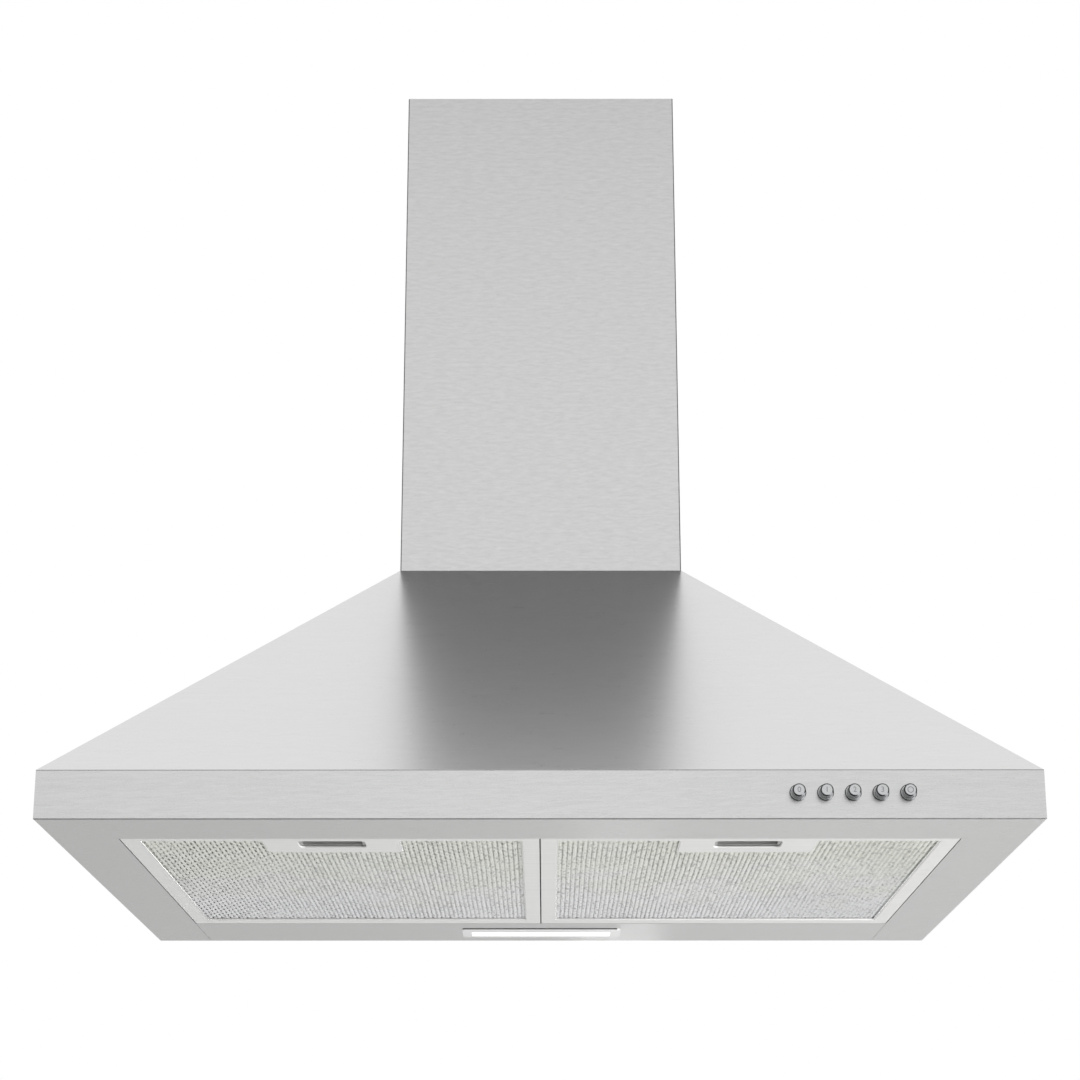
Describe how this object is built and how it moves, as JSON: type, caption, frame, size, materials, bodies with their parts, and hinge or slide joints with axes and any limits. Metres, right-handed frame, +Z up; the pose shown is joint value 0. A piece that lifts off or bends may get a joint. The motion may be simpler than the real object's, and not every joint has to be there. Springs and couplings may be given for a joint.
{
  "type": "chimney range hood",
  "caption": "Wall-mounted pyramid range hood with a telescopic chimney cover, drop-down grease filters, push buttons and a lamp.",
  "frame": {"origin": "midway between the two hanging holes, on the wall plane", "axes": "+Z up, +Y into the wall, +X to the right as seen from the room"},
  "size_m": [0.6, 0.51, 0.643],
  "materials": {
    "stainless": "satin",
    "galvanised": "matte",
    "filter_aluminium": "satin",
    "chrome_plated": "polished",
    "grey_plastic": "satin",
    "white_plastic": "satin",
    "black_plastic": "satin",
    "lens_plastic": "satin",
    "latch_zinc": "satin",
    "motor_steel": "satin",
    "stator_copper": "matte",
    "steel_bright": "satin",
    "rubber_black": "matte",
    "board_green": "satin",
    "lead_sheath": "satin"
  },
  "bodies": {
    "hood": {"canopy_shell": "stainless", "rear_panel": "galvanised", "rear_bar": "stainless", "deck_plate": "galvanised", "lower_chimney": "stainless", "casing_left": "black_plastic", "casing_right": "black_plastic", "motor_stator": "stator_copper", "motor_housing": "motor_steel", "motor_end_cap": "motor_steel", "bearing_front": "steel_bright", "bearing_rear": "steel_bright", "motor_bracket": "galvanised", "motor_bushes": "rubber_black", "outlet_collar": "grey_plastic", "flap_pin": "steel_bright", "button_collars": "chrome_plated", "switch_block": "black_plastic", "switch_bracket": "galvanised", "control_box": "galvanised", "control_box_lid": "galvanised", "terminal_block": "white_plastic", "motor_capacitor": "white_plastic", "cable_gland": "black_plastic", "lamp_bezel": "grey_plastic", "lamp_lens": "lens_plastic", "lamp_housing": "white_plastic", "led_board": "board_green", "switch_lead": "lead_sheath", "lamp_lead": "lead_sheath", "motor_lead": "lead_sheath", "lead_clips": "white_plastic", "m4_screws": "steel_bright"},
    "upper_chimney": {"upper_chimney": "stainless", "wall_bracket": "galvanised"},
    "fan": {"impeller": "grey_plastic", "hub_nut": "steel_bright", "motor_shaft": "steel_bright", "motor_rotor": "steel_bright"},
    "flap_front": {"flap_front": "black_plastic"},
    "flap_rear": {"flap_rear": "black_plastic"},
    "filter_left": {"filter_frame_left": "filter_aluminium", "filter_mesh_left": "filter_aluminium", "filter_pack_left": "filter_aluminium", "filter_pad_left": "filter_aluminium", "latch_spring_left": "steel_bright"},
    "filter_right": {"filter_frame_right": "filter_aluminium", "filter_mesh_right": "filter_aluminium", "filter_pack_right": "filter_aluminium", "filter_pad_right": "filter_aluminium", "latch_spring_right": "steel_bright"},
    "latch_left": {"filter_latch_left": "latch_zinc"},
    "latch_right": {"filter_latch_right": "latch_zinc"},
    "button_off": {"button_off": "chrome_plated"},
    "button_low": {"button_low": "chrome_plated"},
    "button_medium": {"button_medium": "chrome_plated"},
    "button_high": {"button_high": "chrome_plated"},
    "button_lamp": {"button_lamp": "chrome_plated"}
  },
  "joints": [
    {"name": "upper_chimney_slide", "type": "slide", "parent": "hood", "child": "upper_chimney", "axis": [0, 0, 1], "range_m": [0, 0.3]},
    {"name": "fan_spin", "type": "hinge", "parent": "hood", "child": "fan", "pos_m": [0, -0.121, -0.077], "axis": [1, 0, 0], "continuous": true},
    {"name": "flap_front_swing", "type": "hinge", "parent": "hood", "child": "flap_front", "pos_m": [0, -0.082, 0.09], "axis": [-1, 0, 0], "range_deg": [0, 75]},
    {"name": "flap_rear_swing", "type": "hinge", "parent": "hood", "child": "flap_rear", "pos_m": [0, -0.082, 0.09], "axis": [1, 0, 0], "range_deg": [0, 75]},
    {"name": "button_off_press", "type": "slide", "parent": "hood", "child": "button_off", "axis": [0, 1, 0], "range_m": [0, 0.0035], "stiffness_N_per_m": 600},
    {"name": "button_low_press", "type": "slide", "parent": "hood", "child": "button_low", "axis": [0, 1, 0], "range_m": [0, 0.0035], "stiffness_N_per_m": 600},
    {"name": "button_medium_press", "type": "slide", "parent": "hood", "child": "button_medium", "axis": [0, 1, 0], "range_m": [0, 0.0035], "stiffness_N_per_m": 600},
    {"name": "button_high_press", "type": "slide", "parent": "hood", "child": "button_high", "axis": [0, 1, 0], "range_m": [0, 0.0035], "stiffness_N_per_m": 600},
    {"name": "button_lamp_press", "type": "slide", "parent": "hood", "child": "button_lamp", "axis": [0, 1, 0], "range_m": [0, 0.0035], "stiffness_N_per_m": 600},
    {"name": "filter_left_drop", "type": "hinge", "parent": "hood", "child": "filter_left", "pos_m": [-0.12975, -0.0882, -0.2042], "axis": [1, 0, 0], "range_deg": [0, 75]},
    {"name": "latch_left_slide", "type": "slide", "parent": "filter_left", "child": "latch_left", "axis": [0, 1, 0], "range_m": [0, 0.0045], "stiffness_N_per_m": 400, "deforming": ["latch_spring_left"]},
    {"name": "filter_right_drop", "type": "hinge", "parent": "hood", "child": "filter_right", "pos_m": [0.12975, -0.0882, -0.2042], "axis": [1, 0, 0], "range_deg": [0, 75]},
    {"name": "latch_right_slide", "type": "slide", "parent": "filter_right", "child": "latch_right", "axis": [0, 1, 0], "range_m": [0, 0.0045], "stiffness_N_per_m": 400, "deforming": ["latch_spring_right"]}
  ]
}
